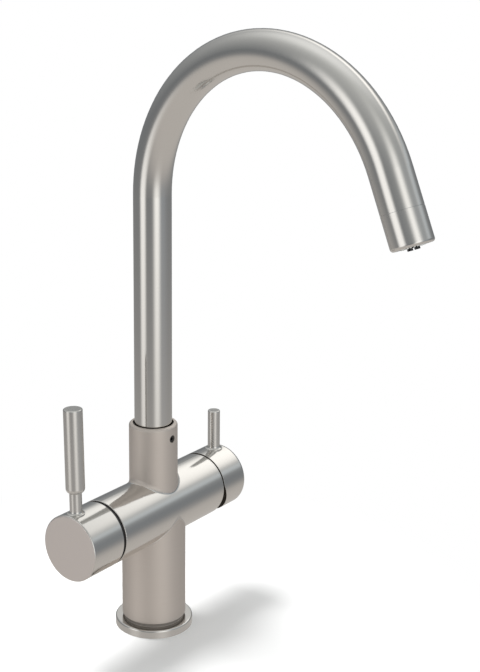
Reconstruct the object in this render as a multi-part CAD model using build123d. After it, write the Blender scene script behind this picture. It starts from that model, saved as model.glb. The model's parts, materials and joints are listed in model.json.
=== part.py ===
from build123d import *
import os
from math import asin, cos, degrees, radians, sin, sqrt, tan

# A five-way kitchen tap: hot and cold water through a tilting mixer, three filtered waters through a
# turning selector, and a swivel spout that carries both streams apart to the nozzle.
# Millimetres, +Z up. The origin is the middle of the base flange's underside, on the spout's axis.
# The spout points to -Y, the selector handle is on the -X side and the mixer handle on the +X side.

# Clearances
running_clearance = 0.05      # radial, a shaft that turns in its bore
screw_clearance = 0.05        # radial, a screw or nut in its thread
slip_clearance = 0.10         # radial, a piece that drops into a bore and stays there
seal_clearance = 0.05         # a seal and the moving wall that it wipes
disc_film = 0.05              # between ceramic or plastic faces that slide on each other
glide_gap = 0.10              # between the glide ring and the selector cap
cut_margin = 1.0              # how far a cutter runs past the wall that it opens

# Base
flange_radius = 26.0
flange_height = 5.4
flange_round = 1.0
spigot_radius = 18.4
neck_radius = 20.2
shadow_gap = 2.1              # from the flange up to the column's edge
base_seal_mean_radius = 22.1
base_seal_width = 3.0
base_seal_height = 1.6

# Column, barrel and collar, cast in one
tee_radius = 21.4             # the column and the barrel share one diameter
column_round = 0.8
barrel_axis_height = 82.4
selector_barrel_end = 53.2    # how far the barrel reaches to each side
mixer_barrel_end = 50.0
barrel_round = 0.4
collar_radius = 16.2
collar_top = 142.1
collar_round = 2.0
collar_fillet = 3.0

# Threaded ports in the spigot's end face
stud_thread_radius = 3.4      # M8 fixing stud, tapping size
stud_thread_depth = 16.0
stud_offset = 13.0
mixer_port_radius = 4.5       # M10 x 1 hose tail, tapping size
mixer_port_x = 9.6
mixer_port_y = 7.0
mixer_port_depths = (12.0, 13.0)          # hot, cold
filter_port_radius = 3.5      # M8 x 1 hose tail, tapping size
filter_outer_x = 10.2
filter_outer_y = 8.6
filter_middle_x = 7.0
filter_port_depths = (10.0, 11.0, 10.5)   # front, middle, rear

# Waterways
supply_channel_radius = 2.4   # hot and cold, up through the column
mixed_channel_radius = 2.75
mixed_channel_x = 8.5
filter_channel_radius = 1.9
filtered_channel_radius = 2.3

# Holes of the two fixed discs; angles are turned from straight up
mixer_inlet_angle = 45.0
mixer_inlet_place = 7.0
mixer_inlet_radius = 1.4
mixer_outlet_radius = 2.5
selector_turns = (45.0, -45.0, -90.0)     # the lever turns from closed to each filtered water
selector_gallery_angle = 202.5            # where the moving disc's gallery points when closed
selector_inlet_place = 7.5
selector_inlet_radius = 1.8

# Cartridge cavities, measured outwards from the tap's middle
cavity_floor = 17.7
cavity_radius = 14.1
nut_seat = 39.7
nut_bore_radius = 16.5

# Both cartridges
cartridge_base_thickness = 4.0
port_seal_width = 1.1
port_seal_height = 1.0
disc_radius = 11.4
disc_thickness = 3.0
housing_wall = 1.8
nose_radius = 10.5
nose_length = 8.0
nut_thickness = 7.0
nut_slot_width = 4.0
nut_slot_depth = 2.5

# Selector
selector_gap = 2.3
selector_cap_end = 83.4
selector_end_round = 1.0
selector_hollow_end = 63.0
cap_wall = 2.5
cap_rim_round = 0.4
glide_ring_recess = 0.9
glide_spigot_depth = 2.2
glide_ring_play = 4.4         # between the cartridge's nose and the glide ring's bore
selector_spindle_radius = 5.0
selector_spindle_end = 73.5
spindle_flange_radius = 9.0
spindle_flange_thickness = 4.0
spindle_flange_play = 0.15
drive_lug_width = 4.0
drive_lug_depth = 2.0
spindle_seal_section = 0.8    # radius of the round section
selector_rest_lean = 1.3      # degrees that the lever leans to the rear when it stands closed
selector_lever_place = 76.1
selector_stem_radius = 3.97
selector_grip_radius = 6.13
selector_grip_start = 38.0
selector_lever_top = 89.5
selector_shoulder_round = 3.3
selector_screw_place = 68.5
lever_foot_flare = 1.7
lever_stud_radius = 3.0
lever_root = 1.0              # how far a lever's stem starts inside the cap's side
lever_stud_depth = 7.0
lever_top_round = 0.8
cap_screw_radius = 2.0
cap_screw_length = 9.0
socket_across = 2.0           # across the flats of the hexagon sockets
socket_depth = 1.8

# Mixer
mixer_lift_angle = 18.0       # degrees from closed to full flow
mixer_gap = 1.8               # from the barrel to the upper half of the cap's rim
mixer_rim_slant = mixer_lift_angle + 0.5  # the lower half is cut back so that the cap can tip
mixer_slant_start = 3.0       # above the axis
mixer_cap_end = 77.0
mixer_end_round = 3.2
mixer_hollow_end = 61.7
mixer_pivot = 42.2
mixer_moving_disc_radius = 9.1
mixer_pocket_radius = 5.2
carrier_thickness = 6.0
carrier_socket_radius = 2.6
sleeve_flange_thickness = 2.6
sleeve_neck_radius = 8.3
sleeve_neck_end = 47.3
sleeve_slot_width = 6.2
sleeve_slot_play = 0.4
pivot_pin_radius = 1.5
pivot_pin_play = 0.2          # at each end
mixer_spindle_radius = 3.0
mixer_spindle_end = 72.0
mixer_ball_radius = 2.5
mixer_ball_place = 33.2
mixer_ball_neck = 1.8
mixer_lever_place = 67.4
mixer_lever_radius = 4.27
mixer_lever_top = 49.1
mixer_screw_place = 67.4
dome_radius = 15.6
dome_wall = 1.2
dome_mouth = 8.0
trim_ring_recess = 0.6
trim_ring_reach = 1.3
trim_ring_bore = 15.4
sleeve_seal_section = 0.8

# Spout
tube_radius = 12.5
tube_wall = 1.2
bend_start_height = 295.5
bend_radius = 98.3
bend_angle = 157.1
tube_tail = 22.2
spout_rest_turn = 7.8         # degrees towards the selector, as the tap stands in the photograph
spout_turn_limit = 60.0       # each way from the middle
collar_gap = 0.9              # between the tube and the collar's mouth

# Spout foot inside the collar, stacked downwards from the collar's top
foot_sink = 1.2
foot_rim = 0.2                # metal above the upper slide ring
foot_land = 1.6               # metal between one groove and the next
foot_seal_land = 5.0          # the same between the two seals
foot_end_land = 2.2           # metal below the lower slide ring
foot_lift = 0.3
foot_bore = 9.0
foot_spigot_length = 12.0
foot_groove_depth = 0.8
slide_ring_height = 3.6
foot_seal_section = 1.15
seal_groove_play = 0.1
chamber_radius = 11.4
chamber_depth = 3.0
lock_screw_radius = 2.5
lock_screw_sink = 0.7
lock_dog_radius = 1.5
lock_dog_length = 1.2
lock_groove_play = 0.3
lock_groove_spare = 1.0       # degrees of slot past each stop

# Filtered-water tube inside the spout
inner_tube_radius = 3.0
inner_tube_wall = 0.7
inner_plug_radius = 4.6
inner_plug_length = 14.0      # below the chamber's floor
inner_plug_flange_radius = 6.5
inner_plug_flange_height = 2.0
inner_plug_seal_place = 3.5   # above the plug's lower end
inner_plug_seal_section = 0.8
inner_tube_socket_depth = 9.0

# Nozzle, measured along the tube from its cut end
seam_gap = 0.3
seam_recess = 0.5
nozzle_length = 20.5
nozzle_round = 1.8
nozzle_lip = 2.2
nozzle_mouth_radius = 7.0
nozzle_bore = 9.6
adapter_spigot = 10.0
adapter_end = 9.0
adapter_bore = 8.4
thread_band_radius = 10.7
aerator_seal_height = 0.6
aerator_wall = 1.3
aerator_hub_wall = 1.2
aerator_spokes = 6
aerator_spoke_width = 1.2
aerator_plate = 1.2
key_ring_outer = 6.8
key_ring_inner = 5.5
key_ring_reach = 0.4
key_notch_count = 20
key_notch_width = 1.2
key_notch_depth = 1.6
screen_height = 0.6
screen_hole_radius = 0.55
screen_edge = 0.66            # from the hub to the first row of holes
screen_inner_holes = 16
screen_more_holes = 6         # more in the outer row
outlet_radius = 3.6
outlet_bore = 2.3
outlet_reach = 1.7
outlet_notch_count = 10
outlet_notch_width = 0.9
outlet_notch_depth = 1.3
outlet_start = 5.0
outlet_socket_depth = 7.0

# Worked out from the values above
column_foot = flange_height + shadow_gap
collar_bore = tube_radius + collar_gap
collar_wall_clear = collar_bore - seal_clearance
cap_hollow_radius = tee_radius - cap_wall
selector_cap_start = selector_barrel_end + selector_gap
housing_radius = cavity_radius - slip_clearance
housing_bore = housing_radius - housing_wall
nut_radius = nut_bore_radius - screw_clearance
nut_end = nut_seat + nut_thickness
base_top = cavity_floor + cartridge_base_thickness
fixed_disc_top = base_top + disc_thickness
moving_disc_low = fixed_disc_top + disc_film
moving_disc_top = moving_disc_low + disc_thickness
selector_roof = moving_disc_top + spindle_flange_thickness + spindle_flange_play
carrier_top = moving_disc_top + carrier_thickness
sleeve_flange_low = carrier_top + disc_film
sleeve_flange_top = sleeve_flange_low + sleeve_flange_thickness
mixer_roof = sleeve_flange_top + disc_film
mixer_cap_start = mixer_barrel_end + mixer_gap
spindle_neck_end = mixer_ball_place + 2 * mixer_ball_neck
tube_bore = tube_radius - tube_wall
lock_groove_half_height = lock_dog_radius + lock_groove_play
seal_groove_half_height = foot_seal_section + seal_groove_play
foot_top = collar_top - foot_sink
upper_slide_ring_low = foot_top - foot_rim - slide_ring_height
lock_screw_height = upper_slide_ring_low - foot_land - lock_groove_half_height
upper_seal_height = lock_screw_height - lock_groove_half_height - foot_land - seal_groove_half_height
lower_seal_height = upper_seal_height - foot_seal_land - 2 * seal_groove_half_height
lower_slide_ring_low = lower_seal_height - seal_groove_half_height - foot_land - slide_ring_height
foot_low = lower_slide_ring_low - foot_end_land
foot_seat_height = foot_low - foot_lift
inner_tube_bore = inner_tube_radius - inner_tube_wall
inner_plug_bore = inner_plug_radius + running_clearance
chamber_floor = foot_seat_height - chamber_depth
inner_plug_low = chamber_floor - inner_plug_length
inner_plug_seal_height = inner_plug_low + inner_plug_seal_place
aerator_low = adapter_end + aerator_seal_height
aerator_top = nozzle_length - nozzle_lip
aerator_radius = nozzle_bore - slip_clearance
aerator_hub_radius = outlet_radius + slip_clearance + aerator_hub_wall

# Places: each handle side has its own frame, outwards along the barrel with its X axis pointing up
middle = Vector(0, 0, barrel_axis_height)
mixer_side = Plane(origin=middle, x_dir=(0, 0, 1), z_dir=(1, 0, 0))
selector_side = Plane(origin=middle, x_dir=(0, 0, 1), z_dir=(-1, 0, 0))
spout_plane = Plane(origin=(0, 0, 0), x_dir=(0, -1, 0), z_dir=(-1, 0, 0))
spout_turn = Rot(0, 0, -spout_rest_turn)
bend = radians(bend_angle)
tail_reach = bend_radius * (1 - cos(bend)) + tube_tail * sin(bend)
tail_height = bend_start_height + bend_radius * sin(bend) + tube_tail * cos(bend)
tip_plane = Plane(origin=(0, -tail_reach, tail_height), x_dir=(1, 0, 0), z_dir=(0, -sin(bend), cos(bend)))


def disc(radius, low, high):
    return Pos(0, 0, low) * Cylinder(radius, high - low, align=(Align.CENTER, Align.CENTER, Align.MIN))


def ring(inner, outer, low, high):
    return disc(outer, low, high) - disc(inner, low, high)


def hole_at(x, y, radius, low, high):
    return Pos(x, y, 0) * disc(radius, low, high)


def round_seal(outer_radius, section, height):
    return Pos(0, 0, height) * Torus(outer_radius - section, section)


def rounded_disc(radius, low, high, low_round=0.0, high_round=0.0):
    """A disc whose two rims may each be rounded."""
    solid = disc(radius, low, high)
    if low_round > 0:
        solid = fillet(solid.edges().sort_by(Axis.Z)[0], low_round)
    if high_round > 0:
        solid = fillet(solid.edges().sort_by(Axis.Z)[-1], high_round)
    return solid


def radial(part, place, side=1):
    """Stands a part made along Z on the barrel, pointing away from the axis at this place along it."""
    return Pos(0, 0, place) * Rot(0, 90 * side, 0) * part


def hexagon_socket(top, depth=socket_depth):
    face = RegularPolygon(socket_across / sqrt(3), 6)
    return Pos(0, 0, top - depth) * extrude(face, depth)


def spout_path(start_height, tail):
    """The spout's middle line: straight up, round one bend, then straight down to the nozzle."""
    riser = Line((0, start_height), (0, bend_start_height))
    arc = JernArc(start=(0, bend_start_height), tangent=(0, 1), radius=bend_radius, arc_size=-bend_angle)
    end = arc @ 1
    last = end + Vector(sin(bend), cos(bend)) * tail
    return spout_plane * (riser + arc + Line(end, last))


def bent_rod(radius, start_height, tail):
    path = spout_path(start_height, tail)
    section = Pos(0, 0, start_height) * Circle(radius)
    return sweep(section, path=path)


def screw_groove_angle():
    """Half the angle of the slot that the lock screw's dog runs in."""
    return spout_turn_limit + degrees(asin(lock_groove_half_height / tube_radius)) + lock_groove_spare


# Base pieces

def base_flange():
    plate = rounded_disc(flange_radius, 0, flange_height, high_round=flange_round)
    plate -= disc(spigot_radius + slip_clearance, 0, flange_height)
    inner = base_seal_mean_radius - base_seal_width / 2
    outer = base_seal_mean_radius + base_seal_width / 2
    return plate - ring(inner, outer, 0, base_seal_height)


def base_seal():
    inner = base_seal_mean_radius - base_seal_width / 2
    outer = base_seal_mean_radius + base_seal_width / 2
    return ring(inner, outer, 0, base_seal_height)


# Tap body

def body_shell():
    barrel = disc(tee_radius, -selector_barrel_end, mixer_barrel_end)
    barrel = fillet(barrel.edges().filter_by(GeomType.CIRCLE), barrel_round)
    barrel = mixer_side * barrel
    collar = rounded_disc(collar_radius, barrel_axis_height, collar_top, high_round=collar_round)
    shell = barrel + collar
    root = shell.edges().filter_by(lambda e: e.geom_type not in (GeomType.LINE, GeomType.CIRCLE))
    shell = fillet(root, collar_fillet)
    shell += rounded_disc(tee_radius, column_foot, barrel_axis_height, low_round=column_round)
    shell += disc(neck_radius, flange_height, column_foot + column_round)
    return shell + disc(spigot_radius, 0, flange_height)


def turned_place(distance, angle):
    """A point in a handle's frame, where X points up, this far from the middle at this angle."""
    return (distance * cos(radians(angle)), distance * sin(radians(angle)))


def mixer_inlets():
    return [turned_place(mixer_inlet_place, side * mixer_inlet_angle) for side in (1, -1)]


def selector_inlets():
    angles = [selector_gallery_angle + turn for turn in selector_turns]
    return [turned_place(selector_inlet_place, angle) for angle in angles]


def across_channel(x_from, x_to, y, height, radius):
    """A level bore along the barrel with a round end at the column's side."""
    rod = Cylinder(radius, abs(x_to - x_from), align=(Align.CENTER, Align.CENTER, Align.MIN))
    rod = Pos(min(x_from, x_to), y, height) * Rot(0, 90, 0) * rod
    return rod + Pos(x_from, y, height) * Sphere(radius)


def supply_channel(x, y, thread, thread_depth, channel, inlet, inlet_radius, floor_side):
    """A threaded port, its bore up the column and the level bore out to one cartridge."""
    height = barrel_axis_height + inlet[0]
    inlet_y = inlet[1] if floor_side < 0 else -inlet[1]
    cuts = hole_at(x, y, thread, 0, thread_depth)
    cuts += hole_at(x, y, channel, 0, height)
    cuts += Pos(x, y, height) * Sphere(channel)
    return cuts + across_channel(x, floor_side, inlet_y, height, inlet_radius)


def body_waterways():
    cuts = []
    for inlet, depth in zip(mixer_inlets(), mixer_port_depths):
        side = -1 if inlet[1] > 0 else 1
        cuts.append(supply_channel(mixer_port_x, side * mixer_port_y, mixer_port_radius, depth,
                                   supply_channel_radius, inlet, mixer_inlet_radius, cavity_floor))
    filter_places = [(-filter_outer_x, -filter_outer_y), (-filter_middle_x, 0),
                     (-filter_outer_x, filter_outer_y)]
    for place, depth, inlet in zip(filter_places, filter_port_depths, selector_inlets()):
        cuts.append(supply_channel(place[0], place[1], filter_port_radius, depth, filter_channel_radius,
                                   inlet, selector_inlet_radius, -cavity_floor))
    cuts.append(across_channel(mixed_channel_x, cavity_floor, 0, barrel_axis_height, mixer_outlet_radius))
    cuts.append(Pos(mixed_channel_x, 0, barrel_axis_height) * Sphere(mixed_channel_radius))
    cuts.append(hole_at(mixed_channel_x, 0, mixed_channel_radius, barrel_axis_height, chamber_floor))
    cuts.append(across_channel(0, -cavity_floor, 0, barrel_axis_height, filtered_channel_radius))
    cuts.append(hole_at(0, 0, filtered_channel_radius, barrel_axis_height, inner_plug_low))
    cuts.append(disc(inner_plug_bore, inner_plug_low - running_clearance, chamber_floor))
    return cuts


def body_cavities():
    cuts = []
    for side, barrel_end in ((mixer_side, mixer_barrel_end), (selector_side, selector_barrel_end)):
        cuts.append(side * disc(cavity_radius, cavity_floor, nut_seat))
        cuts.append(side * disc(nut_bore_radius, nut_seat, barrel_end))
    cuts.append(disc(chamber_radius, chamber_floor, foot_seat_height))
    cuts.append(disc(collar_bore, foot_seat_height, collar_top))
    cuts.append(hole_at(0, stud_offset, stud_thread_radius, 0, stud_thread_depth))
    hole_radius = lock_screw_radius + screw_clearance
    screw_hole = disc(hole_radius, collar_bore - cut_margin, collar_radius + cut_margin)
    cuts.append(Pos(0, 0, lock_screw_height) * Rot(90, 0, 0) * screw_hole)
    return cuts


def tap_body():
    body = body_shell()
    for cut in body_cavities() + body_waterways():
        body -= cut
    return body


# Cartridges

def cartridge_base(ports):
    base = disc(housing_radius, cavity_floor, base_top)
    for x, y, radius in ports:
        base -= hole_at(x, y, radius, cavity_floor, base_top)
        base -= hole_at(x, y, radius + port_seal_width, cavity_floor, cavity_floor + port_seal_height)
    return base


def cartridge_port_seals(ports):
    seals = Part()
    for x, y, radius in ports:
        top = cavity_floor + port_seal_height
        seals += Pos(x, y, 0) * ring(radius, radius + port_seal_width, cavity_floor, top)
    return seals


def fixed_disc(ports):
    plate = disc(disc_radius, base_top, fixed_disc_top)
    for x, y, radius in ports:
        plate -= hole_at(x, y, radius, base_top, fixed_disc_top)
    return plate


def cartridge_housing(roof, bore):
    shell = disc(housing_radius, base_top, nut_seat)
    shell += disc(nose_radius, nut_seat, nut_seat + nose_length)
    shell -= disc(housing_bore, base_top, roof)
    return shell - disc(bore, roof, nut_seat + nose_length)


def retaining_nut():
    nut = ring(nose_radius + slip_clearance, nut_radius, nut_seat, nut_end)
    slot = Pos(0, 0, nut_end - nut_slot_depth / 2) * Box(nut_slot_width, 2 * nut_radius, nut_slot_depth)
    return nut - slot - Rot(0, 0, 90) * slot


def handle_screw(inner_radius):
    """A grub screw made along Z, from the spindle outwards."""
    top = inner_radius + cap_screw_length
    return disc(cap_screw_radius, inner_radius, top) - hexagon_socket(top)


def lever_foot(stem_radius, foot_radius):
    """A stem's flared foot, to be trimmed to the cap's round side."""
    flare = lever_foot_flare
    start = Vector(stem_radius + flare, foot_radius)
    top = Vector(stem_radius, foot_radius + flare)
    mid = Vector(stem_radius + flare * (1 - sin(radians(45))), foot_radius + flare * (1 - cos(radians(45))))
    base_depth = foot_radius - (stem_radius + flare)
    outline = Polyline((0, base_depth), (start.X, base_depth), start)
    outline += ThreePointArc(start, mid, top)
    outline += Polyline(top, (0, top.Y), (0, base_depth))
    return revolve(make_face(Plane.XZ * outline), Axis.Z)


# Selector pieces

def selector_ports():
    ports = [(x, y, selector_inlet_radius) for x, y in selector_inlets()]
    return ports + [(0, 0, filtered_channel_radius)]


def selector_moving_disc():
    """The disc whose gallery joins the middle outlet to one inlet, or to none."""
    plate = disc(disc_radius, moving_disc_low, moving_disc_top)
    end_x, end_y = turned_place(selector_inlet_place, selector_gallery_angle)
    roof = moving_disc_low + disc_thickness / 2
    gallery = disc(filtered_channel_radius, moving_disc_low, roof)
    gallery += hole_at(end_x, end_y, selector_inlet_radius, moving_disc_low, roof)
    slot = Box(selector_inlet_place, 2 * selector_inlet_radius, disc_thickness / 2)
    slot = Pos(selector_inlet_place / 2, 0, moving_disc_low + disc_thickness / 4) * slot
    plate -= gallery + Rot(0, 0, selector_gallery_angle) * slot
    notch = Box(drive_lug_width, disc_radius, drive_lug_depth)
    for side in (1, -1):
        plate -= Pos(0, side * disc_radius, moving_disc_top - drive_lug_depth / 2) * notch
    return plate


def selector_spindle():
    radius = selector_spindle_radius
    flange_top = moving_disc_top + spindle_flange_thickness
    spindle = disc(spindle_flange_radius, moving_disc_top, flange_top)
    spindle += disc(radius, moving_disc_top, selector_spindle_end)
    for side in (1, -1):
        lug_length = spindle_flange_radius - disc_radius / 2 - slip_clearance
        lug = Box(drive_lug_width - 2 * slip_clearance, lug_length, drive_lug_depth)
        middle_y = side * (spindle_flange_radius - lug_length / 2 - slip_clearance / 2)
        spindle += Pos(0, middle_y, moving_disc_top - drive_lug_depth / 2) * lug
    seal_bottom = radius + running_clearance - seal_clearance - 2 * spindle_seal_section
    half_groove = spindle_seal_section + seal_groove_play
    height = selector_seal_place()
    return spindle - ring(seal_bottom, radius, height - half_groove, height + half_groove)


def selector_seal_place():
    return (selector_roof + nut_seat + nose_length) / 2


def selector_spindle_seal():
    outer = selector_spindle_radius + running_clearance - seal_clearance
    return round_seal(outer, spindle_seal_section, selector_seal_place())


def selector_cap():
    cap = rounded_disc(tee_radius, selector_cap_start, selector_cap_end, cap_rim_round, selector_end_round)
    cap -= disc(cap_hollow_radius, selector_cap_start, selector_hollow_end)
    cap -= disc(selector_spindle_radius, selector_hollow_end, selector_spindle_end)
    stud_hole = disc(lever_stud_radius, tee_radius - lever_stud_depth, tee_radius)
    cap -= radial(stud_hole, selector_lever_place)
    screw_hole = disc(cap_screw_radius, 0, tee_radius)
    return cap - radial(screw_hole, selector_screw_place, -1)


def selector_cap_screw():
    return radial(handle_screw(selector_spindle_radius), selector_screw_place, -1)


def selector_lever():
    stem_top = selector_grip_start + selector_shoulder_round
    lever = disc(selector_stem_radius, tee_radius - lever_root, stem_top)
    lever += lever_foot(selector_stem_radius, tee_radius)
    grip = disc(selector_grip_radius, selector_grip_start - selector_shoulder_round, selector_lever_top)
    rims = grip.edges().filter_by(GeomType.CIRCLE).sort_by(Axis.Z)
    grip = fillet(rims[-1], lever_top_round)
    rims = grip.edges().filter_by(GeomType.CIRCLE).sort_by(Axis.Z)
    grip = fillet(rims[0], selector_shoulder_round)
    lever = radial(lever + grip, selector_lever_place)
    lever -= disc(tee_radius, 0, selector_cap_end)
    stud = disc(lever_stud_radius, tee_radius - lever_stud_depth, tee_radius)
    return lever + radial(stud, selector_lever_place)


def selector_glide_ring():
    flange = disc(tee_radius - glide_ring_recess, selector_barrel_end, selector_cap_start - glide_gap)
    spigot = disc(nut_radius, selector_barrel_end - glide_spigot_depth, selector_barrel_end)
    return flange + spigot - disc(nose_radius + glide_ring_play, 0, selector_cap_end)


# Mixer pieces

def mixer_ports():
    ports = [(x, y, mixer_inlet_radius) for x, y in mixer_inlets()]
    return ports + [(0, 0, mixer_outlet_radius)]


def mixer_moving_disc():
    """Its pocket lies over the middle outlet alone until the disc slides up to the inlets."""
    plate = disc(mixer_moving_disc_radius, moving_disc_low, moving_disc_top)
    return plate - disc(mixer_pocket_radius, moving_disc_low, moving_disc_low + disc_thickness / 2)


def mixer_disc_carrier():
    plate = disc(mixer_moving_disc_radius, moving_disc_top, carrier_top)
    return plate - disc(carrier_socket_radius, moving_disc_top, carrier_top)


def mixer_turning_sleeve():
    sleeve = disc(disc_radius, sleeve_flange_low, sleeve_flange_top)
    sleeve += disc(sleeve_neck_radius, sleeve_flange_low, sleeve_neck_end)
    slot_height = sleeve_neck_end - sleeve_flange_low
    tilt = radians(mixer_lift_angle)
    slot_reach = (mixer_pivot - spindle_neck_end) * tan(tilt) + mixer_spindle_radius / cos(tilt)
    slot = Box(2 * (slot_reach + sleeve_slot_play), sleeve_slot_width, slot_height)
    sleeve -= Pos(0, 0, sleeve_flange_low + slot_height / 2) * slot
    pin_hole = Cylinder(pivot_pin_radius, 2 * sleeve_neck_radius)
    sleeve -= Pos(0, 0, mixer_pivot) * Rot(90, 0, 0) * pin_hole
    bottom = sleeve_neck_radius - 2 * sleeve_seal_section
    half_groove = sleeve_seal_section + seal_groove_play
    height = mixer_seal_place()
    return sleeve - ring(bottom, sleeve_neck_radius, height - half_groove, height + half_groove)


def mixer_seal_place():
    return (sleeve_flange_top + mixer_pivot - pivot_pin_radius) / 2


def mixer_sleeve_seal():
    return round_seal(sleeve_neck_radius, sleeve_seal_section, mixer_seal_place())


def mixer_pivot_pin():
    pin = Cylinder(pivot_pin_radius, 2 * sleeve_neck_radius - 2 * pivot_pin_play)
    return Pos(0, 0, mixer_pivot) * Rot(90, 0, 0) * pin


def mixer_spindle():
    spindle = Pos(0, 0, mixer_ball_place) * Sphere(mixer_ball_radius)
    spindle += disc(mixer_ball_neck, mixer_ball_place, spindle_neck_end)
    spindle += disc(mixer_spindle_radius, spindle_neck_end, mixer_spindle_end)
    pin_hole = Cylinder(pivot_pin_radius + running_clearance, 2 * sleeve_neck_radius)
    return spindle - Pos(0, 0, mixer_pivot) * Rot(90, 0, 0) * pin_hole


def mixer_dome_cover():
    shell = Sphere(dome_radius) - Sphere(dome_radius - dome_wall)
    shell = Pos(0, 0, mixer_pivot) * shell
    shell &= disc(dome_radius, nut_end, mixer_pivot + dome_radius)
    foot = sqrt(dome_radius ** 2 - (nut_end - mixer_pivot) ** 2) - dome_wall / 2
    shell += ring(nose_radius + slip_clearance, foot, nut_end, nut_end + dome_wall)
    return shell - disc(dome_mouth, 0, mixer_pivot + dome_radius)


def mixer_trim_ring():
    """The narrow metal ring in the barrel's mouth that shows in the gap beside the cap."""
    trim = disc(tee_radius - trim_ring_recess, mixer_barrel_end, mixer_barrel_end + trim_ring_reach)
    trim += disc(nut_radius, mixer_barrel_end - glide_spigot_depth, mixer_barrel_end)
    return trim - disc(trim_ring_bore, 0, mixer_cap_end)


def mixer_cap():
    cap = rounded_disc(tee_radius, mixer_cap_start, mixer_cap_end, high_round=mixer_end_round)
    cap -= disc(cap_hollow_radius, mixer_cap_start, mixer_hollow_end)
    side = 6 * tee_radius
    block = Box(side, side, side, align=(Align.CENTER, Align.CENTER, Align.MAX))
    cap -= Pos(mixer_slant_start, 0, mixer_cap_start) * Rot(0, mixer_rim_slant, 0) * block
    rim = [cap.edges().filter_by(GeomType.ELLIPSE).sort_by(SortBy.LENGTH)[-1]]
    rim += [edge for edge in cap.edges().filter_by(GeomType.CIRCLE)
            if edge.radius > tee_radius - cap_wall / 2 and edge.center().Z < mixer_hollow_end]
    cap = fillet(rim, cap_rim_round)
    cap -= disc(mixer_spindle_radius, mixer_hollow_end, mixer_spindle_end)
    stud_hole = disc(lever_stud_radius, tee_radius - lever_stud_depth, tee_radius)
    cap -= radial(stud_hole, mixer_lever_place)
    screw_hole = disc(cap_screw_radius, 0, tee_radius)
    return cap - radial(screw_hole, mixer_screw_place, -1)


def mixer_cap_screw():
    return radial(handle_screw(mixer_spindle_radius), mixer_screw_place, -1)


def mixer_lever():
    root = tee_radius - lever_root
    pin = rounded_disc(mixer_lever_radius, root, mixer_lever_top, high_round=lever_top_round)
    pin += lever_foot(mixer_lever_radius, tee_radius)
    pin = radial(pin, mixer_lever_place)
    pin -= disc(tee_radius, 0, mixer_cap_end)
    stud = disc(lever_stud_radius, tee_radius - lever_stud_depth, tee_radius)
    return pin + radial(stud, mixer_lever_place)


# Spout pieces, made pointing straight at -Y and turned to their rest afterwards

def spout_tube():
    outer = bent_rod(tube_radius, foot_top, tube_tail)
    return outer - bent_rod(tube_bore, foot_top, tube_tail)


def seal_groove_bottom():
    return collar_wall_clear - 2 * foot_seal_section


def spout_foot():
    foot = disc(tube_radius, foot_low, foot_top) + disc(tube_bore, foot_top, foot_top + foot_spigot_length)
    foot -= disc(foot_bore, foot_low, foot_top + foot_spigot_length)
    ring_bottom = tube_radius - foot_groove_depth
    for start in (upper_slide_ring_low, lower_slide_ring_low):
        foot -= ring(ring_bottom, tube_radius, start, start + slide_ring_height)
    for height in (upper_seal_height, lower_seal_height):
        groove_low = height - seal_groove_half_height
        foot -= ring(seal_groove_bottom(), tube_radius, groove_low, groove_low + 2 * seal_groove_half_height)
    return foot - lock_groove()


def lock_groove():
    """The slot round the front of the foot that the lock screw's dog runs in, from stop to stop."""
    depth_radius = collar_bore - lock_dog_length - lock_groove_play
    face = Rectangle(collar_bore - depth_radius, 2 * lock_groove_half_height)
    face = Plane.XZ * Pos((depth_radius + collar_bore) / 2, lock_screw_height) * face
    half_angle = screw_groove_angle()
    slot = revolve(face, Axis.Z, revolution_arc=2 * half_angle)
    return Rot(0, 0, -90 - half_angle) * slot


def lock_screw():
    inner = collar_bore + running_clearance
    outer = collar_radius - lock_screw_sink
    screw = disc(lock_screw_radius, inner, outer)
    screw += disc(lock_dog_radius, collar_bore - lock_dog_length, outer)
    screw -= hexagon_socket(outer, min(socket_depth, outer - inner))
    return Pos(0, 0, lock_screw_height) * Rot(90, 0, 0) * screw


def slide_ring(low):
    return ring(tube_radius - foot_groove_depth, collar_wall_clear, low, low + slide_ring_height)


def filtered_tube():
    low = inner_tube_low()
    tail = tube_tail + outlet_start + outlet_socket_depth
    return bent_rod(inner_tube_radius, low, tail) - bent_rod(inner_tube_bore, low, tail)


def inner_tube_low():
    return chamber_floor + inner_plug_flange_height + running_clearance - inner_tube_socket_depth


def filtered_tube_plug():
    flange_low = chamber_floor + running_clearance
    flange_top = flange_low + inner_plug_flange_height
    plug = disc(inner_plug_radius, inner_plug_low, flange_top)
    plug += disc(inner_plug_flange_radius, flange_low, flange_top)
    plug -= disc(inner_tube_bore, inner_plug_low, flange_top)
    plug -= disc(inner_tube_radius, inner_tube_low(), flange_top)
    mixed_way = hole_at(mixed_channel_x, 0, mixed_channel_radius, flange_low, flange_top)
    bottom = inner_plug_bore - seal_clearance - 2 * inner_plug_seal_section
    half_groove = inner_plug_seal_section + seal_groove_play
    height = inner_plug_seal_height - half_groove
    groove = ring(bottom, inner_plug_radius, height, height + 2 * half_groove)
    return plug - groove - mixed_way


def filtered_tube_seal():
    return round_seal(inner_plug_bore - seal_clearance, inner_plug_seal_section, inner_plug_seal_height)


# Nozzle pieces, made along the tube's end with Z pointing the way the water leaves

def nozzle_adapter():
    adapter = disc(tube_bore, -adapter_spigot, 0)
    adapter += disc(tube_radius - seam_recess, 0, seam_gap)
    adapter += disc(thread_band_radius - screw_clearance, seam_gap, adapter_end)
    return adapter - disc(adapter_bore, -adapter_spigot, adapter_end)


def nozzle_collar():
    collar = rounded_disc(tube_radius, seam_gap, nozzle_length, high_round=nozzle_round)
    collar -= disc(thread_band_radius, seam_gap, adapter_end)
    collar -= disc(nozzle_bore, adapter_end, aerator_top)
    return collar - disc(nozzle_mouth_radius, aerator_top, nozzle_length)


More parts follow.
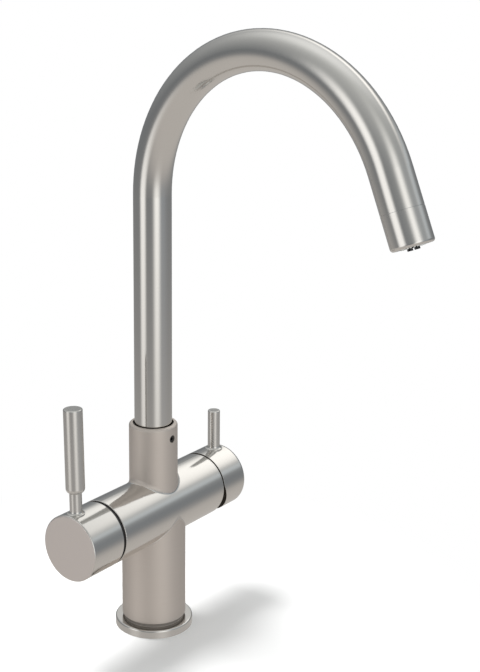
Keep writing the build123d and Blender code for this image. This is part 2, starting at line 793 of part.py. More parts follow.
def aerator_seal():
    return ring(adapter_bore, aerator_radius, adapter_end, aerator_low)


def aerator_housing():
    """A cup with a spoked hub for the filtered outlet and a castellated ring for its key."""
    hub_bore = outlet_radius + slip_clearance
    end = nozzle_length + key_ring_reach
    housing = ring(aerator_radius - aerator_wall, aerator_radius, aerator_low, aerator_top)
    housing += ring(key_ring_inner, aerator_radius, aerator_top - aerator_plate, aerator_top)
    housing += ring(key_ring_inner, key_ring_outer, aerator_top - aerator_plate, end)
    housing += ring(hub_bore, aerator_hub_radius, aerator_low, aerator_top)
    reach = aerator_radius - aerator_wall / 2 - aerator_hub_radius + aerator_hub_wall / 2
    spoke = Box(reach, aerator_spoke_width, aerator_top - aerator_low)
    spoke_x = aerator_hub_radius - aerator_hub_wall / 2 + reach / 2
    spoke = Pos(spoke_x, 0, (aerator_low + aerator_top) / 2) * spoke
    for turn in range(aerator_spokes):
        housing += Rot(0, 0, 360 * turn / aerator_spokes) * spoke
    screen_top = aerator_low + screen_height
    housing -= ring(aerator_hub_radius, aerator_radius - aerator_wall, aerator_low, screen_top)
    notch = Box(key_ring_outer, key_notch_width, key_notch_depth)
    notch_start = key_ring_inner - key_notch_width
    notch = Pos(notch_start + key_ring_outer / 2, 0, end - key_notch_depth / 2) * notch
    for turn in range(key_notch_count):
        housing -= Rot(0, 0, 360 * turn / key_notch_count) * notch
    return housing


def aerator_screen():
    screen = ring(aerator_hub_radius, aerator_radius - aerator_wall, aerator_low, aerator_low + screen_height)
    inner_row = aerator_hub_radius + screen_edge + screen_hole_radius
    row_step = (aerator_radius - aerator_wall - aerator_hub_radius) / 2
    for row in range(2):
        radius = inner_row + row * row_step
        count = screen_inner_holes + screen_more_holes * row
        for turn in range(count):
            hole = hole_at(radius, 0, screen_hole_radius, aerator_low, aerator_low + screen_height)
            screen -= Rot(0, 0, 360 * turn / count) * hole
    return screen


def filtered_outlet():
    """The nozzle's middle tube, with a castellated end."""
    end = nozzle_length + outlet_reach
    outlet = disc(outlet_radius, outlet_start, end)
    outlet -= disc(outlet_bore, outlet_start, end)
    outlet -= disc(inner_tube_radius, outlet_start, outlet_start + outlet_socket_depth)
    notch = Box(outlet_radius, outlet_notch_width, outlet_notch_depth)
    notch = Pos(outlet_bore / 2 + outlet_radius / 2, 0, end - outlet_notch_depth / 2) * notch
    for turn in range(outlet_notch_count):
        outlet -= Rot(0, 0, 360 * turn / outlet_notch_count) * notch
    return outlet


def place_selector(part):
    """The selector's moving pieces stand at the lever's rest lean."""
    return selector_side * Rot(0, 0, selector_rest_lean) * part


def place_spout(part):
    return spout_turn * part


def place_nozzle(part):
    return spout_turn * (tip_plane * part)


pieces = {
    "tap_body": tap_body(),
    "base_flange": base_flange(),
    "base_seal": base_seal(),
    "spout_lock_screw": lock_screw(),
    "selector_cartridge_base": selector_side * cartridge_base(selector_ports()),
    "selector_port_seals": selector_side * cartridge_port_seals(selector_ports()),
    "selector_fixed_disc": selector_side * fixed_disc(selector_ports()),
    "selector_housing": selector_side * cartridge_housing(
        selector_roof, selector_spindle_radius + running_clearance),
    "selector_retaining_nut": selector_side * retaining_nut(),
    "selector_glide_ring": selector_side * selector_glide_ring(),
    "selector_moving_disc": place_selector(selector_moving_disc()),
    "selector_spindle": place_selector(selector_spindle()),
    "selector_spindle_seal": place_selector(selector_spindle_seal()),
    "selector_cap": place_selector(selector_cap()),
    "selector_cap_screw": place_selector(selector_cap_screw()),
    "selector_lever": place_selector(selector_lever()),
    "mixer_cartridge_base": mixer_side * cartridge_base(mixer_ports()),
    "mixer_port_seals": mixer_side * cartridge_port_seals(mixer_ports()),
    "mixer_fixed_disc": mixer_side * fixed_disc(mixer_ports()),
    "mixer_housing": mixer_side * cartridge_housing(mixer_roof, sleeve_neck_radius + running_clearance),
    "mixer_retaining_nut": mixer_side * retaining_nut(),
    "mixer_dome_cover": mixer_side * mixer_dome_cover(),
    "mixer_trim_ring": mixer_side * mixer_trim_ring(),
    "mixer_moving_disc": mixer_side * mixer_moving_disc(),
    "mixer_disc_carrier": mixer_side * mixer_disc_carrier(),
    "mixer_turning_sleeve": mixer_side * mixer_turning_sleeve(),
    "mixer_sleeve_seal": mixer_side * mixer_sleeve_seal(),
    "mixer_pivot_pin": mixer_side * mixer_pivot_pin(),
    "mixer_spindle": mixer_side * mixer_spindle(),
    "mixer_cap": mixer_side * mixer_cap(),
    "mixer_cap_screw": mixer_side * mixer_cap_screw(),
    "mixer_lever": mixer_side * mixer_lever(),
    "spout_tube": place_spout(spout_tube()),
    "spout_foot": place_spout(spout_foot()),
    "spout_slide_ring_upper": place_spout(slide_ring(upper_slide_ring_low)),
    "spout_slide_ring_lower": place_spout(slide_ring(lower_slide_ring_low)),
    "spout_seal_upper": place_spout(round_seal(collar_wall_clear, foot_seal_section, upper_seal_height)),
    "spout_seal_lower": place_spout(round_seal(collar_wall_clear, foot_seal_section, lower_seal_height)),
    "filtered_water_tube": place_spout(filtered_tube()),
    "filtered_tube_plug": place_spout(filtered_tube_plug()),
    "filtered_tube_seal": place_spout(filtered_tube_seal()),
    "nozzle_adapter": place_nozzle(nozzle_adapter()),
    "nozzle_collar": place_nozzle(nozzle_collar()),
    "aerator_seal": place_nozzle(aerator_seal()),
    "aerator_housing": place_nozzle(aerator_housing()),
    "aerator_screen": place_nozzle(aerator_screen()),
    "filtered_outlet": place_nozzle(filtered_outlet()),
}

os.makedirs("parts", exist_ok=True)
for name, shape in pieces.items():
    export_step(shape, f"parts/{name}.step")
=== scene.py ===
import bpy
import json
import math
import numpy as np
from mathutils import Matrix, Vector

# A brushed nickel kitchen tap on a pale studio floor.
# Everything is in metres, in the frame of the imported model.

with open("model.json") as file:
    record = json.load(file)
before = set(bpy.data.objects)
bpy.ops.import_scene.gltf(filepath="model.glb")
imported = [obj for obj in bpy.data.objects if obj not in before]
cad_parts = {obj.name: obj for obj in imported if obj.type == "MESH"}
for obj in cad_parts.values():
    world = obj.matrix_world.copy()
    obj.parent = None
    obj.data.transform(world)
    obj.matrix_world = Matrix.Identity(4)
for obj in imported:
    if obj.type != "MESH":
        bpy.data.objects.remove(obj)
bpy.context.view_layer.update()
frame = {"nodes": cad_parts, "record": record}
nodes = frame["nodes"]
print("frame loaded,", len(nodes), "nodes")


# Small helpers for building node materials

def newNode(tree, kind, **settings):
    node = tree.nodes.new(kind)
    for key, value in settings.items():
        if key.startswith("in_"):
            node.inputs[key[3:]].default_value = value
        else:
            setattr(node, key, value)
    return node


def maths(tree, operation, first, second=None):
    node = tree.nodes.new("ShaderNodeMath")
    node.operation = operation
    for slot, value in enumerate((first, second)):
        if value is None:
            continue
        if isinstance(value, (int, float)):
            node.inputs[slot].default_value = value
        else:
            tree.links.new(value, node.inputs[slot])
    return node.outputs[0]


def vectorMaths(tree, operation, first, second=None):
    node = tree.nodes.new("ShaderNodeVectorMath")
    node.operation = operation
    for slot, value in enumerate((first, second)):
        if value is None:
            continue
        if isinstance(value, bpy.types.NodeSocket):
            tree.links.new(value, node.inputs[slot])
        else:
            node.inputs[slot].default_value = value
    return node.outputs["Value"] if operation == "DOT_PRODUCT" else node.outputs["Vector"]


# Square root of first^2 + second^2
def distanceOf(tree, first, second):
    squares = maths(tree, "ADD", maths(tree, "POWER", first, 2.0), maths(tree, "POWER", second, 2.0))
    return maths(tree, "SQRT", squares)


def joinXyz(tree, x, y, z):
    node = tree.nodes.new("ShaderNodeCombineXYZ")
    for slot, value in enumerate((x, y, z)):
        if isinstance(value, (int, float)):
            node.inputs[slot].default_value = value
        else:
            tree.links.new(value, node.inputs[slot])
    return node.outputs[0]


def noiseAt(tree, vector, scale, detail=3.0, roughness=0.5):
    node = newNode(tree, "ShaderNodeTexNoise", in_Scale=scale, in_Detail=detail, in_Roughness=roughness)
    tree.links.new(vector, node.inputs["Vector"])
    return node.outputs["Fac"]


# Carries noise, which mostly lies between 0.25 and 0.75, to the range from low to high
def spread(tree, value, low, high):
    node = newNode(tree, "ShaderNodeMapRange")
    node.inputs["From Min"].default_value = 0.25
    node.inputs["From Max"].default_value = 0.75
    node.inputs["To Min"].default_value = low
    node.inputs["To Max"].default_value = high
    tree.links.new(value, node.inputs["Value"])
    return node.outputs["Result"]


def newMaterial(name):
    material = bpy.data.materials.new(name)
    material.use_nodes = True
    tree = material.node_tree
    tree.nodes.clear()
    shader = tree.nodes.new("ShaderNodeBsdfPrincipled")
    output = tree.nodes.new("ShaderNodeOutputMaterial")
    tree.links.new(shader.outputs["BSDF"], output.inputs["Surface"])
    return material, tree, shader


def setBump(tree, shader, height, strength, distance):
    bump = newNode(tree, "ShaderNodeBump", in_Strength=strength, in_Distance=distance)
    tree.links.new(height, bump.inputs["Height"])
    tree.links.new(bump.outputs["Normal"], shader.inputs["Normal"])


def twoColours(tree, factor, first, second):
    mix = newNode(tree, "ShaderNodeMix", data_type="RGBA")
    mix.inputs[6].default_value = (*first, 1)  # 6 and 7 are the colour sockets
    mix.inputs[7].default_value = (*second, 1)
    tree.links.new(factor, mix.inputs[0])
    return mix.outputs[2]


# Brushed nickel. The fine lines run round each tube, so the pattern changes fast along the tube's
# own middle line and slowly across it.

nickel = {
    "light": (0.730, 0.715, 0.690),
    "dark": (0.700, 0.685, 0.660),
    "roughness": (0.11, 0.15),        # spout, barrel and caps
    "leverRoughness": (0.20, 0.26),
    "columnRoughness": (0.56, 0.62),  # column and collar
    "columnTint": (0.750, 0.690, 0.640),
    "endRoughness": (0.44, 0.50),     # flat end of a cap
    "facedEnd": (0.760, 0.705, 0.675),
    "inside": (0.032, 0.027, 0.022),  # painted shade: a dark, dull colour on the hidden walls inside the caps and the barrel
    "insideRoughness": 0.6,
    "linesPerMetre": 2600,
    "acrossPerMetre": 60,
    "cloudsPerMetre": 38,
    "lineShare": 0.6,                 # part of the tone that the lines give; clouds give the rest
    "lineDepth": 0.000004,
    "lineStrength": 0.06,
}

spoutShape = {
    "bendStart": 0.2955,
    "bendRadius": 0.0983,
    "turn": 7.8,         # degrees towards the selector
    "splitSlope": 0.6,   # the riser's pattern ends where height + slope x forward reaches the bend's start
}
barrelShape = {
    "height": 0.0824,
    "radius": 0.0214,
    "surface": 0.0003,   # what lies this close to the radius is the barrel's own surface
    "skin": 0.0005,      # what lies deeper than this is inside, and gets painted shade
    "mouth": 0.0200,
    "capFloor": 0.0660,
    "endFacing": 0.75,   # how squarely a flat end faces along the barrel, as a cosine
    "rimFacing": 0.5,    # the same for the slanted rim beside the mixer's gap, which gets painted shade
}
collarShape = {"bore": 0.0136}
# gapPaintedShade is how strongly painted shade darkens the gap under the column
baseShape = {"gapLow": 0.0055, "gapTop": 0.0076, "gapPaintedShade": 0.60}


# Upright pieces: height
def alongUpright(tree, x, y, z):
    return z


# Spout: height on the riser and, past the bend's start, angle round the bend times its radius
def alongSpout(tree, x, y, z):
    turn = math.radians(spoutShape["turn"])
    forward = maths(tree, "ADD", maths(tree, "MULTIPLY", x, -math.sin(turn)),
                    maths(tree, "MULTIPLY", y, -math.cos(turn)))
    sideways = maths(tree, "SUBTRACT", spoutShape["bendRadius"], forward)
    upwards = maths(tree, "SUBTRACT", z, spoutShape["bendStart"])
    angle = maths(tree, "ARCTAN2", upwards, sideways)
    arc = maths(tree, "MULTIPLY", angle, spoutShape["bendRadius"])
    split = maths(tree, "ADD", upwards, maths(tree, "MULTIPLY", forward, spoutShape["splitSlope"]))
    onBend = maths(tree, "GREATER_THAN", split, 0.0)
    return maths(tree, "ADD", maths(tree, "MULTIPLY", arc, onBend),
                 maths(tree, "MULTIPLY", upwards, maths(tree, "SUBTRACT", 1.0, onBend)))


def distanceFromBarrel(tree, y, z):
    return distanceOf(tree, maths(tree, "SUBTRACT", z, barrelShape["height"]), y)


def distanceFromSpout(tree, x, y):
    return distanceOf(tree, x, y)


# 1 where the surface faces along the barrel by at least the given cosine
def facingAlong(tree, least):
    geometry = tree.nodes.new("ShaderNodeNewGeometry")
    split = tree.nodes.new("ShaderNodeSeparateXYZ")
    tree.links.new(geometry.outputs["Normal"], split.inputs[0])
    return maths(tree, "GREATER_THAN", maths(tree, "ABSOLUTE", split.outputs[0]), least)


# Caps: distance along the barrel on the side, distance from the barrel's axis on the flat end
def alongCap(tree, x, y, z):
    onEnd = facingAlong(tree, barrelShape["endFacing"])
    rings = distanceFromBarrel(tree, y, z)
    return maths(tree, "ADD", maths(tree, "MULTIPLY", rings, onEnd),
                 maths(tree, "MULTIPLY", x, maths(tree, "SUBTRACT", 1.0, onEnd)))


# 1 on the barrel's own round surface
def onBarrel(tree, x, y, z):
    offBarrel = maths(tree, "SUBTRACT", distanceFromBarrel(tree, y, z), barrelShape["radius"])
    return maths(tree, "LESS_THAN", maths(tree, "ABSOLUTE", offBarrel), barrelShape["surface"])


# Body: distance along the barrel where the surface is the barrel's, and height elsewhere
def alongBody(tree, x, y, z):
    barrel = onBarrel(tree, x, y, z)
    return maths(tree, "ADD", maths(tree, "MULTIPLY", x, barrel),
                 maths(tree, "MULTIPLY", z, maths(tree, "SUBTRACT", 1.0, barrel)))


def underSkin(tree, y, z):
    skinRadius = barrelShape["radius"] - barrelShape["skin"]
    return maths(tree, "LESS_THAN", distanceFromBarrel(tree, y, z), skinRadius)


# 1 on a cap's hidden walls, inside it and on its rim, where dark painted shade goes
def insideCap(tree, x, y, z):
    hidden = maths(tree, "MAXIMUM", underSkin(tree, y, z), facingAlong(tree, barrelShape["rimFacing"]))
    short = maths(tree, "LESS_THAN", maths(tree, "ABSOLUTE", x), barrelShape["capFloor"])
    return maths(tree, "MULTIPLY", hidden, short)


# 1 on the body's hidden walls, in the barrel's mouths and the collar's, and less in the gap under the
# column: where dark painted shade goes
def insideBody(tree, x, y, z):
    deep = underSkin(tree, y, z)
    mouth = maths(tree, "GREATER_THAN", maths(tree, "ABSOLUTE", x), barrelShape["mouth"])
    bore = maths(tree, "LESS_THAN", distanceFromSpout(tree, x, y), collarShape["bore"])
    gap = maths(tree, "MULTIPLY", maths(tree, "LESS_THAN", z, baseShape["gapTop"]),
                maths(tree, "GREATER_THAN", z, baseShape["gapLow"]))
    gap = maths(tree, "MULTIPLY", gap, baseShape["gapPaintedShade"])
    return maths(tree, "MAXIMUM", maths(tree, "MULTIPLY", deep, mouth), maths(tree, "MAXIMUM", bore, gap))


# A number that goes from low to high as the amount goes from 0 to 1
def blend(tree, amount, low, high):
    node = newNode(tree, "ShaderNodeMix", data_type="FLOAT")
    tree.links.new(amount, node.inputs[0])
    for slot, value in ((2, low), (3, high)):
        if isinstance(value, (int, float)):
            node.inputs[slot].default_value = value
        else:
            tree.links.new(value, node.inputs[slot])
    return node.outputs[0]


# The same for colours, towards a fixed one
def towardsColour(tree, amount, colour, target):
    mix = newNode(tree, "ShaderNodeMix", data_type="RGBA")
    mix.inputs[7].default_value = (*target, 1)
    tree.links.new(colour, mix.inputs[6])
    tree.links.new(amount, mix.inputs[0])
    return mix.outputs[2]


def nickelMaterial(name, along, finish, inside=None, second=None):
    material, tree, shader = newMaterial(name)
    place = tree.nodes.new("ShaderNodeTexCoord").outputs["Object"]
    split = tree.nodes.new("ShaderNodeSeparateXYZ")
    tree.links.new(place, split.inputs[0])
    x, y, z = split.outputs
    line = maths(tree, "MULTIPLY", along(tree, x, y, z), nickel["linesPerMetre"])
    across = nickel["acrossPerMetre"]
    sideways = joinXyz(tree, maths(tree, "MULTIPLY", x, across), maths(tree, "MULTIPLY", y, across),
                       maths(tree, "MULTIPLY", z, across))
    lined = vectorMaths(tree, "ADD", sideways, joinXyz(tree, line, 0.0, 0.0))
    brushing = noiseAt(tree, lined, 1.0, detail=4.0, roughness=0.6)
    clouds = noiseAt(tree, place, nickel["cloudsPerMetre"], detail=2.0)
    lineTone = maths(tree, "MULTIPLY", brushing, nickel["lineShare"])
    cloudTone = maths(tree, "MULTIPLY", clouds, 1.0 - nickel["lineShare"])
    tone = spread(tree, maths(tree, "ADD", lineTone, cloudTone), 0.0, 1.0)
    colour = twoColours(tree, tone, nickel["dark"], nickel["light"])
    roughness = spread(tree, brushing, *nickel[finish])
    if second:
        where, rougher, tint = second
        there = where(tree, x, y, z)
        roughness = blend(tree, there, roughness, spread(tree, brushing, *nickel[rougher]))
        colour = towardsColour(tree, there, colour, nickel[tint])
    # Painted shade: the hidden walls turn to a dark, dull colour with no metal shine
    if inside:
        amount = inside(tree, x, y, z)
        colour = towardsColour(tree, amount, colour, nickel["inside"])
        roughness = blend(tree, amount, roughness, nickel["insideRoughness"])
        tree.links.new(maths(tree, "SUBTRACT", 1.0, amount), shader.inputs["Metallic"])
        shader.inputs["Specular IOR Level"].default_value = 0.0
    tree.links.new(colour, shader.inputs["Base Color"])
    tree.links.new(roughness, shader.inputs["Roughness"])
    if not inside:
        shader.inputs["Metallic"].default_value = 1.0
    setBump(tree, shader, brushing, nickel["lineStrength"], nickel["lineDepth"])
    return material


# The places with a second finish: 1 there and 0 elsewhere
def columnAndCollar(tree, x, y, z):
    return maths(tree, "SUBTRACT", 1.0, onBarrel(tree, x, y, z))


def capEnd(tree, x, y, z):
    return facingAlong(tree, barrelShape["endFacing"])


# The other finishes: two colours, a roughness range, and the scale and depth of the surface's texture

finishes = {
    "blackRubber": {"first": (0.020, 0.020, 0.021), "second": (0.032, 0.032, 0.033), "metal": 0.0,
                    "roughness": (0.55, 0.75), "scale": 900, "depth": 0.00003},
    "blackPlastic": {"first": (0.012, 0.012, 0.013), "second": (0.024, 0.024, 0.026), "metal": 0.0,
                     "roughness": (0.35, 0.50), "scale": 1400, "depth": 0.00002},
    "whitePlastic": {"first": (0.80, 0.80, 0.77), "second": (0.86, 0.86, 0.84), "metal": 0.0,
                     "roughness": (0.30, 0.42), "scale": 700, "depth": 0.000003},
    "tubePlastic": {"first": (0.74, 0.79, 0.83), "second": (0.82, 0.86, 0.89), "metal": 0.0,
                    "roughness": (0.22, 0.32), "scale": 300, "depth": 0.00001},
    "discCeramic": {"first": (0.86, 0.85, 0.80), "second": (0.93, 0.92, 0.89), "metal": 0.0,
                    "roughness": (0.08, 0.14), "scale": 2200, "depth": 0.000004},
    "turnedBrass": {"first": (0.72, 0.53, 0.25), "second": (0.83, 0.66, 0.36), "metal": 1.0,
                    "roughness": (0.24, 0.36), "scale": 1800, "depth": 0.00001},
    "turnedSteel": {"first": (0.50, 0.50, 0.50), "second": (0.62, 0.62, 0.61), "metal": 1.0,
                    "roughness": (0.22, 0.34), "scale": 1800, "depth": 0.00001},
    "darkSteel": {"first": (0.06, 0.06, 0.06), "second": (0.10, 0.10, 0.10), "metal": 1.0,
                  "roughness": (0.30, 0.42), "scale": 1800, "depth": 0.00001},
}

grainShape = {"cloudWidth": 12, "strength": 0.4}  # clouds are cloudWidth times wider than the grain


def plainMaterial(name, finish):
    material, tree, shader = newMaterial(name)
    place = tree.nodes.new("ShaderNodeTexCoord").outputs["Object"]
    grain = noiseAt(tree, place, finish["scale"], detail=5.0, roughness=0.6)
    clouds = noiseAt(tree, place, finish["scale"] / grainShape["cloudWidth"], detail=2.0)
    tone = spread(tree, maths(tree, "MULTIPLY", maths(tree, "ADD", grain, clouds), 0.5), 0.0, 1.0)
    tree.links.new(twoColours(tree, tone, finish["first"], finish["second"]), shader.inputs["Base Color"])
    tree.links.new(spread(tree, clouds, *finish["roughness"]), shader.inputs["Roughness"])
    shader.inputs["Metallic"].default_value = finish["metal"]
    setBump(tree, shader, grain, grainShape["strength"], finish["depth"])
    return material


slotFinish = {
    "black_rubber": "blackRubber", "black_plastic": "blackPlastic", "white_plastic": "whitePlastic",
    "tube_plastic": "tubePlastic", "ceramic": "discCeramic", "raw_brass": "turnedBrass",
    "plain_steel": "turnedSteel", "dark_steel": "darkSteel",
}
# Each kind of nickel: the way that its brushing runs, its finish, its hidden walls with painted shade and
# its second finish
nickelKinds = {
    "bodyNickel": (alongBody, "roughness", insideBody, (columnAndCollar, "columnRoughness", "columnTint")),
    "capNickel": (alongCap, "roughness", insideCap, (capEnd, "endRoughness", "facedEnd")),
    "ringNickel": (alongCap, "roughness"),
    "spoutNickel": (alongSpout, "roughness"),
    "flangeNickel": (alongUpright, "roughness"),
    "leverNickel": (alongUpright, "leverRoughness"),
}
nickelPieces = {
    "tap_body": "bodyNickel", "base_flange": "flangeNickel", "spout_tube": "spoutNickel",
    "nozzle_collar": "spoutNickel", "selector_cap": "capNickel", "mixer_cap": "capNickel",
    "selector_lever": "leverNickel", "mixer_lever": "leverNickel", "mixer_trim_ring": "ringNickel",
}

made = {}
for part in frame["record"]["subparts"]:
    node = part["node"]
    if node in nickelPieces:
        key = nickelPieces[node]
        if key not in made:
            made[key] = nickelMaterial(key, *nickelKinds[key])
    else:
        key = slotFinish[part["material_slot"]]
        if key not in made:
            made[key] = plainMaterial(key, finishes[key])
    nodes[node].data.materials.clear()
    nodes[node].data.materials.append(made[key])
print("materials:", len(made))


# Plain studio light: pale walls over a warm floor, and a few large soft boxes

room = {
    "floorLight": (0.58, 0.55, 0.52),
    "wallLight": (0.20, 0.21, 0.22),
    "wallGain": (0.35, 0.35, 0.33),  # added towards straight up
    "floorLine": -0.35,              # height of the floor's far edge, as the sine of its angle
    "floorBlur": 0.08,
}

# Each box: direction in degrees (round from +X, up from level), half width and half height in degrees,
# how sharp its edge is, and its colour
softBoxes = {
    "left": {"azimuth": 160, "elevation": -5, "halfWidth": 18, "halfHeight": 35, "edge": 2.0,
             "colour": (1.05, 1.03, 1.00)},
    "front": {"azimuth": -115, "elevation": 0, "halfWidth": 20, "halfHeight": 40, "edge": 1.5,
              "colour": (1.10, 1.08, 1.04)},
    "frontEdge": {"azimuth": -80, "elevation": 0, "halfWidth": 30, "halfHeight": 25, "edge": 1.0,
                  "colour": (0.14, 0.16, 0.18)},
    "rearHigh": {"azimuth": 2, "elevation": 38, "halfWidth": 35, "halfHeight": 9, "edge": 1.5,
                 "colour": (0.90, 0.87, 0.83)},
    "rightStrip": {"azimuth": -34, "elevation": 18, "halfWidth": 25, "halfHeight": 6, "edge": 1.2,
                   "colour": (0.25, 0.28, 0.30)},
    "ceiling": {"azimuth": 30, "elevation": 68, "halfWidth": 38, "halfHeight": 28, "edge": 1.5,
                "colour": (0.45, 0.45, 0.45)},
}


def direction(azimuth, elevation):
    a, e = math.radians(azimuth), math.radians(elevation)
    return Vector((math.cos(e) * math.cos(a), math.cos(e) * math.sin(a), math.sin(e)))


# 1 in the box's middle and 0 past its edge: e to the power of -(x^2 + y^2)^edge, x and y in half sizes
def boxLight(tree, ray, box):
    middle = direction(box["azimuth"], box["elevation"])
    level = direction(box["azimuth"] + 90, 0)
    upright = middle.cross(level)
    wide = level / math.sin(math.radians(box["halfWidth"]))
    high = upright / math.sin(math.radians(box["halfHeight"]))
    x = vectorMaths(tree, "DOT_PRODUCT", ray, tuple(wide))
    y = vectorMaths(tree, "DOT_PRODUCT", ray, tuple(high))
    inFront = maths(tree, "GREATER_THAN", vectorMaths(tree, "DOT_PRODUCT", ray, tuple(middle)), 0.0)
    distance = maths(tree, "ADD", maths(tree, "MULTIPLY", x, x), maths(tree, "MULTIPLY", y, y))
    depth = maths(tree, "MULTIPLY", maths(tree, "POWER", distance, box["edge"]), -1.0)
    fall = maths(tree, "EXPONENT", depth)
    return maths(tree, "MULTIPLY", fall, inFront)


def scaled(tree, colour, amount):
    node = tree.nodes.new("ShaderNodeVectorMath")
    node.operation = "SCALE"
    node.inputs[0].default_value = colour
    tree.links.new(amount, node.inputs["Scale"])
    return node.outputs["Vector"]


def buildWorld():
    world = bpy.data.worlds.new("studio")
    bpy.context.scene.world = world
    world.use_nodes = True
    tree = world.node_tree
    tree.nodes.clear()
    ray = tree.nodes.new("ShaderNodeTexCoord").outputs["Generated"]
    split = tree.nodes.new("ShaderNodeSeparateXYZ")
    tree.links.new(ray, split.inputs[0])
    height = split.outputs[2]
    # The walls fade into the floor: 1 / (1 + e to the power of -(height - floorLine) / floorBlur)
    steps = maths(tree, "DIVIDE", maths(tree, "SUBTRACT", height, room["floorLine"]), room["floorBlur"])
    falling = maths(tree, "EXPONENT", maths(tree, "MULTIPLY", steps, -1.0))
    above = maths(tree, "DIVIDE", 1.0, maths(tree, "ADD", 1.0, falling))
    below = maths(tree, "SUBTRACT", 1.0, above)
    upwards = maths(tree, "MULTIPLY", above, maths(tree, "MAXIMUM", height, 0.0))
    light = scaled(tree, room["wallLight"], above)
    light = vectorMaths(tree, "ADD", light, scaled(tree, room["wallGain"], upwards))
    light = vectorMaths(tree, "ADD", light, scaled(tree, room["floorLight"], below))
    for box in softBoxes.values():
        amount = maths(tree, "MULTIPLY", boxLight(tree, ray, box), above)
        light = vectorMaths(tree, "ADD", light, scaled(tree, box["colour"], amount))
    studio = newNode(tree, "ShaderNodeBackground", in_Strength=1.0)
    tree.links.new(light, studio.inputs["Color"])
    white = newNode(tree, "ShaderNodeBackground", in_Color=(1, 1, 1, 1), in_Strength=1.0)
    mix = tree.nodes.new("ShaderNodeMixShader")
    tree.links.new(tree.nodes.new("ShaderNodeLightPath").outputs["Is Camera Ray"], mix.inputs[0])
    tree.links.new(studio.outputs[0], mix.inputs[1])
    tree.links.new(white.outputs[0], mix.inputs[2])
    output = tree.nodes.new("ShaderNodeOutputWorld")
    tree.links.new(mix.outputs[0], output.inputs["Surface"])


buildWorld()
print("studio light:", len(softBoxes), "soft boxes")


# Pale floor: a wide round sheet at height 0, a grid over distance from the middle and angle round it.
# It shines by itself for the camera: a part of its white near the tap, and all of it further out.

floorShape = {"radius": 3.0, "rings": 24, "segments": 96, "colour": (0.92, 0.92, 0.92),
              "ownLight": 0.10, "fadeStart": 0.045, "fadeEnd": 0.24}


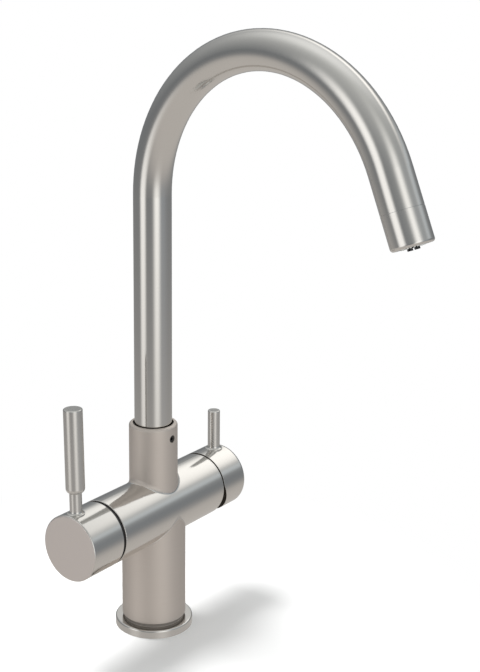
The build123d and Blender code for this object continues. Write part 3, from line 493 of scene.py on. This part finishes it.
# Ring k of n has the radius times (k / n)^2, so the rings lie closest near the tap
def buildFloor():
    rings, segments = floorShape["rings"], floorShape["segments"]
    distance = (np.linspace(0, 1, rings + 1)[1:, None]) ** 2 * floorShape["radius"]
    angle = np.linspace(0, 2 * np.pi, segments, endpoint=False)[None, :]
    x, y = distance * np.cos(angle), distance * np.sin(angle)
    points = np.stack([x, y, np.zeros_like(x)], -1).reshape(-1, 3)
    points = np.vstack([points, [[0.0, 0.0, 0.0]]])
    ring, step = np.meshgrid(np.arange(rings - 1), np.arange(segments), indexing="ij")
    after = (step + 1) % segments
    quads = np.stack([ring * segments + step, (ring + 1) * segments + step,
                      (ring + 1) * segments + after, ring * segments + after], -1).reshape(-1, 4)
    first = np.arange(segments)
    middle = np.stack([np.full(segments, len(points) - 1), first, (first + 1) % segments], -1)
    mesh = bpy.data.meshes.new("floor")
    mesh.from_pydata(points.tolist(), [], quads.tolist() + middle.tolist())
    floor = bpy.data.objects.new("floor", mesh)
    bpy.context.scene.collection.objects.link(floor)
    material, tree, shader = newMaterial("floorPaper")
    place = tree.nodes.new("ShaderNodeTexCoord").outputs["Object"]
    shader.inputs["Base Color"].default_value = (*floorShape["colour"], 1)
    shader.inputs["Specular IOR Level"].default_value = 0.0
    shader.inputs["Roughness"].default_value = 1.0
    glow = newNode(tree, "ShaderNodeEmission", in_Color=(1, 1, 1, 1), in_Strength=1.0)
    mix = tree.nodes.new("ShaderNodeMixShader")
    seen = tree.nodes.new("ShaderNodeLightPath").outputs["Is Camera Ray"]
    split = tree.nodes.new("ShaderNodeSeparateXYZ")
    tree.links.new(place, split.inputs[0])
    outwards = newNode(tree, "ShaderNodeMapRange", interpolation_type="SMOOTHSTEP")
    outwards.inputs["From Min"].default_value = floorShape["fadeStart"]
    outwards.inputs["From Max"].default_value = floorShape["fadeEnd"]
    outwards.inputs["To Min"].default_value = floorShape["ownLight"]
    tree.links.new(distanceFromSpout(tree, split.outputs[0], split.outputs[1]), outwards.inputs["Value"])
    tree.links.new(maths(tree, "MULTIPLY", seen, outwards.outputs["Result"]), mix.inputs[0])
    output = next(node for node in tree.nodes if node.type == "OUTPUT_MATERIAL")
    tree.links.new(shader.outputs["BSDF"], mix.inputs[1])
    tree.links.new(glow.outputs[0], mix.inputs[2])
    tree.links.new(mix.outputs[0], output.inputs["Surface"])
    mesh.materials.append(material)
    floor.visible_glossy = False


buildFloor()
print("floor")


# One broad lamp from above, behind and to the left, for the floor's soft shadow

keyLamp = {"place": (-0.10, 0.55, 1.30), "aim": (0.0, 0.0, 0.05), "size": 0.55, "watts": 20.0}


def buildKeyLamp():
    data = bpy.data.lights.new("keyLamp", "AREA")
    data.shape = "DISK"
    data.size = keyLamp["size"]
    data.energy = keyLamp["watts"]
    lamp = bpy.data.objects.new("keyLamp", data)
    bpy.context.scene.collection.objects.link(lamp)
    aim = Vector(keyLamp["aim"]) - Vector(keyLamp["place"])
    turn = aim.to_track_quat("-Z", "Y").to_matrix().to_4x4()
    lamp.matrix_world = Matrix.Translation(keyLamp["place"]) @ turn
    lamp.visible_glossy = False


buildKeyLamp()
print("key lamp")


# Camera at the photograph's viewing angle, from the front left and a little above

cameraSet = {
    "place": (-0.67772, -0.55284, 0.46002),
    "heading": 38.044,       # degrees round from +X
    "pitch": 10.972,         # degrees down
    "sensor": 36.0,
    "lens": 74.249,
    "shift": (0.0893, -0.1994),
    "nearest": 0.01,
    "farthest": 20.0,
}


def buildCamera():
    heading, pitch = math.radians(cameraSet["heading"]), math.radians(cameraSet["pitch"])
    ahead = Vector((math.cos(heading), math.sin(heading), 0))
    right = Vector((math.sin(heading), -math.cos(heading), 0))
    up = ahead * math.sin(pitch) + Vector((0, 0, math.cos(pitch)))
    back = right.cross(up)
    data = bpy.data.cameras.new("camera")
    data.sensor_width = cameraSet["sensor"]
    data.lens = cameraSet["lens"]
    data.shift_x, data.shift_y = cameraSet["shift"]
    data.clip_start = cameraSet["nearest"]
    data.clip_end = cameraSet["farthest"]
    camera = bpy.data.objects.new("camera", data)
    bpy.context.scene.collection.objects.link(camera)
    turn = Matrix((right, up, back)).transposed().to_4x4()
    camera.matrix_world = Matrix.Translation(cameraSet["place"]) @ turn
    bpy.context.scene.camera = camera


buildCamera()
bpy.context.scene.view_settings.view_transform = "Standard"
print("camera")
